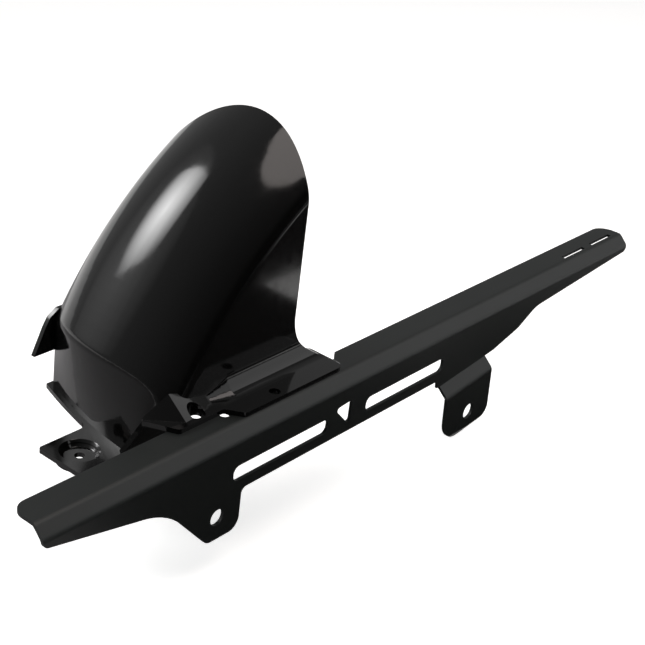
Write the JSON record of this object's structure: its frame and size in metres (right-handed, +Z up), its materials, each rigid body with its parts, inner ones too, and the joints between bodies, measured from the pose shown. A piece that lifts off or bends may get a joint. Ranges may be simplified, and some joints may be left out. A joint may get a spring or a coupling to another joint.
{
  "type": "rear hugger",
  "caption": "Arched moulded rear hugger with an upright apron, mounting tab and side flange, lying on a folded sheet chain guard with slots and bolt tabs.",
  "frame": {"origin": "centre of the guard's front bolt hole on the outer face of its side plate", "axes": "+X along the guard to the rear of the bike, +Y inward to the wheel, +Z up"},
  "size_m": [0.5905, 0.152, 0.2332],
  "materials": {
    "moulding": "gloss black moulding",
    "coated_sheet": "matt black powder coat"
  },
  "bodies": {
    "root": {"hugger_crown": "moulding", "hugger_near_side": "moulding", "hugger_far_side": "moulding", "hugger_apron": "moulding", "hugger_tab": "moulding", "chain_guard": "coated_sheet"}
  },
  "joints": []
}
